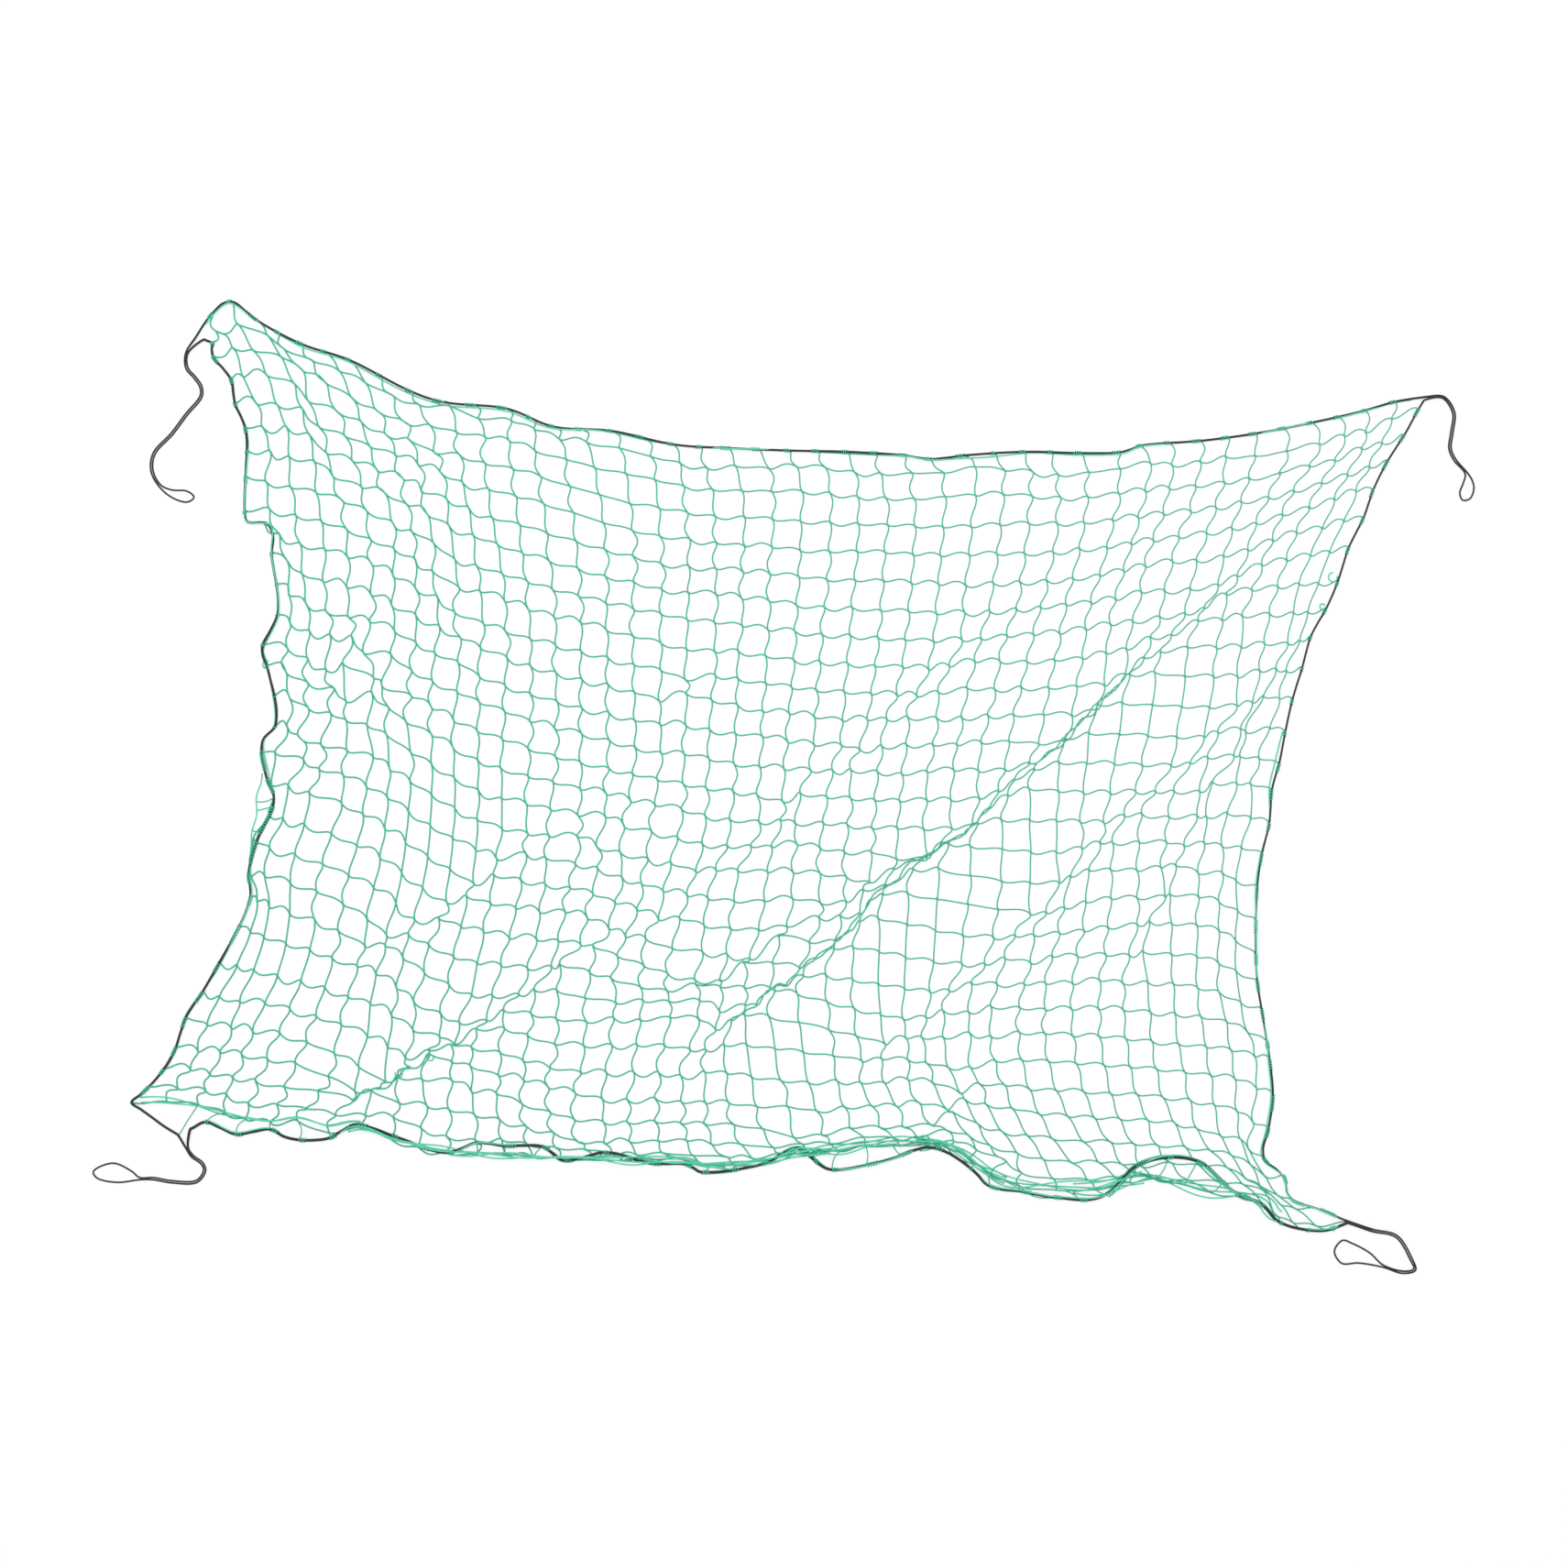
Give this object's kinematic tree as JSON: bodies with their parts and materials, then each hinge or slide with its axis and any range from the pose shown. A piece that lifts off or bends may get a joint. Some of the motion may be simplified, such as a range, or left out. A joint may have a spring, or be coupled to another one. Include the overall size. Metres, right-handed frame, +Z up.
{
  "type": "elastic cargo net",
  "caption": "Square-mesh twine cargo net laid out flat, an elastic cord threaded round its edge and drawn out into a hooking loop at every corner.",
  "frame": {"origin": "on the ground under the middle of the net's box, without the corner loops", "axes": "+X along the net to the right in the picture, +Y to its top edge, +Z up from the ground it lies on"},
  "size_m": [2.2608, 1.5928, 0.014],
  "materials": {
    "net_twine": "satin twisted twine",
    "elastic_cord": "matt braid over elastic"
  },
  "bodies": {
    "root": {"net": "net_twine", "edge_cord_top": "elastic_cord", "edge_cord_right": "elastic_cord", "edge_cord_bottom": "elastic_cord", "edge_cord_left": "elastic_cord", "corner_loop_top_left": "elastic_cord", "corner_loop_top_right": "elastic_cord", "corner_loop_bottom_left": "elastic_cord", "corner_loop_bottom_right": "elastic_cord"}
  },
  "joints": []
}
